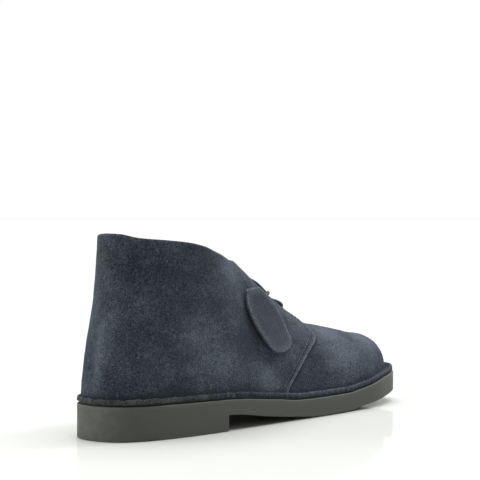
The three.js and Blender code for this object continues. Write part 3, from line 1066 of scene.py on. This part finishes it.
def frames_along(points, up):
    """Tangent, side and up directions along a path."""
    tangent = np.gradient(points, axis=0)
    tangent /= np.linalg.norm(tangent, axis=1, keepdims=True)
    side = np.cross(tangent, up)
    side /= np.linalg.norm(side, axis=1, keepdims=True)
    return tangent, side, np.cross(side, tangent)


def distance_along(path):
    gaps = np.linalg.norm(np.diff(path, axis=0), axis=1)
    return np.concatenate([[0], np.cumsum(gaps)])


def resample(points, step):
    """Points at even steps along a path."""
    run = distance_along(points)
    at = np.linspace(0, run[-1], max(int(round(run[-1] / step)), 2) + 1)
    return np.stack([np.interp(at, run, points[:, k]) for k in range(points.shape[1])], 1)


def catmull_rom(a, b, c, d):
    """Points of one span, from b to just short of c."""
    t = np.linspace(0, 1, 24, endpoint=False)[:, None]
    return 0.5 * (2 * b + (c - a) * t + (2 * a - 5 * b + 4 * c - d) * t**2 + (3 * b - a - 3 * c + d) * t**3)


def spline(points, step):
    """A smooth line through the points, at even steps."""
    points = np.array(points, float)
    padded = np.concatenate([[2 * points[0] - points[1]], points, [2 * points[-1] - points[-2]]])
    spans = [catmull_rom(*quad) for quad in zip(padded, padded[1:], padded[2:], padded[3:])]
    return resample(np.concatenate(spans + [points[-1:]]), step)


def rounded_loop(points, step, passes):
    """A closed outline at even steps with its corners slightly rounded."""
    line = resample(np.array([*points, points[0]], float), step)[:-1]
    for _ in range(passes):
        line = (np.roll(line, 1, 0) + 2 * line + np.roll(line, -1, 0)) / 4
    return line


def stitch_row(name, path, up, material, length=2.3, pitch=3.1, radius=0.28, sides=7):
    """Stitches along a path: short bent capsules that go down into the leather at both ends."""
    run = distance_along(path)
    share = np.array([0, 0.08, 0.3, 0.5, 0.7, 0.92, 1.0])
    drop = np.array([-0.75, -0.2, 0.12, 0.2, 0.12, -0.2, -0.75]) * radius * 1.6
    size = np.array([0.35, 0.85, 1, 1, 1, 0.85, 0.35]) * radius
    angle = np.linspace(0, 2 * math.pi, sides, endpoint=False)
    rings, faces = [], []
    for start in np.arange(pitch / 2, run[-1] - length, pitch):
        at = start + length * share
        line = np.stack([np.interp(at, run, path[:, k]) for k in range(3)], 1)
        lift = np.stack([np.interp(at, run, up[:, k]) for k in range(3)], 1)
        _, side, lift = frames_along(line, lift)
        faces += tube(len(rings) * sides, len(share), sides)
        for k in range(len(share)):
            around = np.outer(np.cos(angle), side[k]) + np.outer(np.sin(angle), lift[k])
            rings.append(line[k] + lift[k] * drop[k] + size[k] * around)
    return mesh_object(name, np.concatenate(rings), faces, material)


def seam_path(behind):
    """A line this many millimetres behind the quarters' front edge, from the lateral sole to the medial."""
    lowest, highest, grown, clear = 19, 69.5, 1.02, 0.3
    z = np.linspace(lowest, highest, 240)
    x = quarter_front(z)
    along = np.stack([np.gradient(x), np.gradient(z)], 1)
    along /= np.linalg.norm(along, axis=1, keepdims=True)
    x = x - along[:, 1] * behind
    z = z + along[:, 0] * behind
    crown = feather(x) + last["crown"](turn_over(x, QUARTER_RISE)) * grown
    fits = z < crown - clear
    x, z = x[fits], z[fits]
    lateral = on_side(x, z, -1.0, QUARTER_RISE)
    medial = on_side(x, z, 1.0, QUARTER_RISE)
    return resample(np.concatenate([lateral, medial[::-1]]), 0.5)


def seam_stitches():
    for index, behind in enumerate((2.2, 4.9)):
        path = seam_path(behind)
        out = path - np.array([0, THROAT_Y, 30])
        out[:, 0] = 0
        out /= np.linalg.norm(out, axis=1, keepdims=True)
        stitch_row(f"quarter_stitches_{index + 1}", path + out * 0.08, out, STITCH)


def flange_stitches():
    turns = np.linspace(0, math.pi, 300)
    turn, side = rounded_ring(turns)
    x, middle, half = outline(turn, lambda t: channel_inset(t) + 0.75)
    path = resample(np.stack([x, middle + side * half, feather(x) + 1.45], -1), 0.5)
    up = np.tile([0.0, 0.0, 1.0], (len(path), 1))
    stitch_row("flange_stitches", path, up, DARK_STITCH, length=3.3, pitch=4.2, radius=0.45)


LACE_REST = LACE_RADIUS + GAP + LACE_LIFT
LACE_STEP = 0.3
STRANDS = 4
STRAND_TURN = 2.2

# The runs of lace, stop by stop: x, y and height over the leather.
LOWER_RUN = [
    (174, 16.5, -2.0),
    (174, 16.3, 0.2),
    (174, 15.0, LACE_REST - 0.3),
    (174, 10, LACE_REST),
    (174, 3, LACE_REST),
    (174, -4, LACE_REST),
    (174, -9.0, LACE_REST - 0.3),
    (174, -10.3, 0.2),
    (174, -10.5, -2.0),
]
TOP_RUN = [
    (150, 23, -2.0),
    (150, 22.8, 0.2),
    (149.8, 21, LACE_REST - 0.3),
    (149, 14, LACE_REST),
    (148.3, 6, LACE_REST),
    (149.3, 0, LACE_REST),
    (152, -3.6, LACE_REST),
    (156.5, -4.4, LACE_REST),
    (161.5, -3.8, LACE_REST),
    (166, -2.4, LACE_REST - 0.2),
    (168.8, -1.1, LACE_REST - 1.5),
    (170.2, -0.9, -1.4),
    (171.2, -2.8, -1.8),
    (172, -6.5, -1.8),
]
FOB_RUN = [
    (150, -17, -2.0),
    (149.8, -17, 0.2),
    (148, -17.8, LACE_REST),
    (143.5, -20.4, LACE_REST),
    (138, -23.2, LACE_REST),
]


def braid(name, routes, replaces, sides=20):
    """Braided cords, each along its run."""
    angle = np.linspace(0, 2 * math.pi, sides, endpoint=False)
    points, faces = [], []
    for route in routes:
        path = spline([lace_point(*stop) for stop in route], LACE_STEP)
        up = np.tile([0.35, 0.2, 1.0], (len(path), 1))
        _, side, lift = frames_along(path, up)
        twist = np.arange(len(path))[:, None] * LACE_STEP * STRAND_TURN
        plait = np.cos(STRANDS * angle + twist) * np.cos(STRANDS * angle - twist)
        size = LACE_RADIUS * (0.95 + 0.07 * plait)
        around = np.cos(angle)[None, :, None] * side[:, None] + np.sin(angle)[None, :, None] * lift[:, None]
        faces += tube(sides * sum(len(rings) for rings in points), len(path), sides)
        points.append(path[:, None] + size[..., None] * around)
    return mesh_object(name, np.concatenate(points).reshape(-1, 3), faces, COTTON, replaces)


def lace_point(x, y, lift):
    x, y = np.array([x], float), np.array([y], float)
    return (over(x, y, QUARTER_RISE) + over_normal(x, y, QUARTER_RISE) * lift)[0]


def laces():
    braid("lace_lower", [LOWER_RUN], ["lace_bar_lower"])
    braid("lace_top", [TOP_RUN, FOB_RUN], ["lace_bar_top"])


FOB_THICKNESS = 2.2
FOB_TOP = (122.4, -26.4, 89.7)
FOB_LEAN = math.radians(18)
FOB_TILT = math.radians(16)
FOB_YAW = math.radians(4)
FOB_OUTLINE = [  # across, up from the middle of its top edge
    (-8.2, 1.9),
    (7, -1.9),
    (12, -12.2),
    (15.2, -19.1),
    (16.5, -31.8),
    (16.5, -44.1),
    (14.1, -47.9),
    (8.6, -49),
    (2, -48.2),
    (-5, -45.7),
    (-8.6, -41.4),
    (-10.8, -35.4),
    (-13.8, -25),
    (-15, -15.7),
    (-14.6, -8),
]
FOB_PROFILE = [  # inset, height, rubbing
    (7.5, 0.0, 0),
    (4, 0.0, 0),
    (1.6, 0.02, 0.1),
    (0.45, 0.1, 0.3),
    (0.08, 0.4, 0.5),
    (0.05, 0.85, 0.5),
    (0.3, 1.08, 0.15),
    (0.05, 1.3, 0.7),
    (0.08, 1.8, 1),
    (0.45, FOB_THICKNESS - 0.1, 0.9),
    (1.6, FOB_THICKNESS, 0.35),
    (4, FOB_THICKNESS, 0),
    (7.5, FOB_THICKNESS, 0),
]
FOB_RIM = 2.0  # up to this inset the rings keep their distance from the edge, and beyond it they shrink
FOB_REACH = 14.0  # the inset at which they would meet in the middle


def fob():
    line = rounded_loop(FOB_OUTLINE[::-1], 0.7, 8)
    tangent = np.roll(line, -1, 0) - np.roll(line, 1, 0)
    inward = np.stack([-tangent[:, 1], tangent[:, 0]], 1)
    inward /= np.linalg.norm(inward, axis=1, keepdims=True)
    centre = line.mean(0)
    loops = []
    for inset, height, _ in FOB_PROFILE:
        ring = line + inward * inset if inset < FOB_RIM else line + (centre - line) * (inset / FOB_REACH)
        loops.append(np.column_stack([ring, np.full(len(line), height)]))
    points = np.concatenate(loops)
    faces = tube(0, len(FOB_PROFILE), len(line))
    rough = value_noise(points, 3.5, 12) * 0.10 + value_noise(points, 1.2, 13) * 0.05
    points[:, 2] += rough * np.where(points[:, 2] > FOB_THICKNESS / 2, 1, 0)
    turn = Matrix.Rotation(FOB_YAW, 3, "Z") @ Matrix.Rotation(math.pi / 2 - FOB_TILT, 3, "X")
    turn = np.array(turn @ Matrix.Rotation(FOB_LEAN, 3, "Z"))
    obj = mesh_object("fob_leather", points @ turn.T + np.array(FOB_TOP), faces, FOB_SUEDE, ["fob"])
    set_attribute(obj, "rub", np.repeat([row[2] for row in FOB_PROFILE], len(line)))
    set_attribute(obj, "shade", np.zeros(len(points)))
    return obj


quarters()
vamp()
tongue()
flange()
outsole()
midsole()
insole()
seam_stitches()
flange_stitches()
laces()
fob()

# -------------------- floor, light and camera


def floor():
    mesh = bpy.data.meshes.new("floor")
    size = 60
    corners = [(-size, -size, 0), (size, -size, 0), (size, size, 0), (-size, size, 0)]
    mesh.from_pydata(corners, [], [(0, 1, 2, 3)])
    paint = Shader("floor", Roughness=0.05, IOR=1.06)
    paint.colour((0.595, 0.604, 0.580, 1))
    mesh.materials.append(paint.material)
    obj = placed("floor", mesh)


def soft_light(name, place, target, size, power):
    """A round lamp, size metres across."""
    light = bpy.data.lights.new(name, "AREA")
    light.shape = "DISK"
    light.size = size
    light.energy = power
    obj = placed(name, light)
    obj.location = place
    obj.rotation_euler = (Vector(target) - Vector(place)).to_track_quat("-Z", "Y").to_euler()


def far_light(name, towards, strength, spread):
    """A broad even light from far off, spread degrees across."""
    light = bpy.data.lights.new(name, "SUN")
    light.energy = strength
    light.angle = math.radians(spread)
    obj = placed(name, light)
    obj.rotation_euler = Vector(towards).to_track_quat("Z", "Y").to_euler()


def sky(seen, lighting):
    """A plain white surround, one brightness to the eye and in reflections and another as soft light."""
    surround = bpy.data.worlds.new("studio")
    surround.use_nodes = True
    nodes, links = surround.node_tree.nodes, surround.node_tree.links
    white = nodes["Background"]
    white.inputs["Color"].default_value = (1, 1, 1, 1)
    white.inputs["Strength"].default_value = seen
    fill = nodes.new("ShaderNodeBackground")
    fill.inputs["Color"].default_value = (1, 1, 1, 1)
    fill.inputs["Strength"].default_value = lighting
    choose = nodes.new("ShaderNodeMixShader")
    path = nodes.new("ShaderNodeLightPath")
    either = nodes.new("ShaderNodeMath")
    either.operation = "MAXIMUM"
    links.new(path.outputs["Is Camera Ray"], either.inputs[0])
    links.new(path.outputs["Is Glossy Ray"], either.inputs[1])
    links.new(either.outputs[0], choose.inputs["Fac"])
    links.new(fill.outputs["Background"], choose.inputs[1])
    links.new(white.outputs["Background"], choose.inputs[2])
    links.new(choose.outputs["Shader"], nodes["World Output"].inputs["Surface"])
    bpy.context.scene.world = surround


def camera():
    """The photo's view: nearly level, from behind the lateral side."""
    tilt, heading = 0.985, -50
    data = bpy.data.cameras.new("camera")
    data.sensor_width = 36
    data.lens = 109.04
    data.clip_end = 200
    obj = placed("camera", data)
    obj.location = (-0.7686, -0.6430, 0.1380)
    obj.rotation_euler = (math.radians(90 - tilt), 0, math.radians(heading))
    bpy.context.scene.camera = obj


floor()
sky(seen=1.0, lighting=0.45)
far_light("overhead", (0.2, 0.05, 0.97), strength=3.7, spread=60)
far_light("key", (0.78, -0.30, 0.55), strength=1.0, spread=14)
soft_light("left", (-1.0, 0.9, 0.5), (0, 0, 0.05), size=0.8, power=8)
camera()
bpy.context.scene.view_settings.view_transform = "Standard"
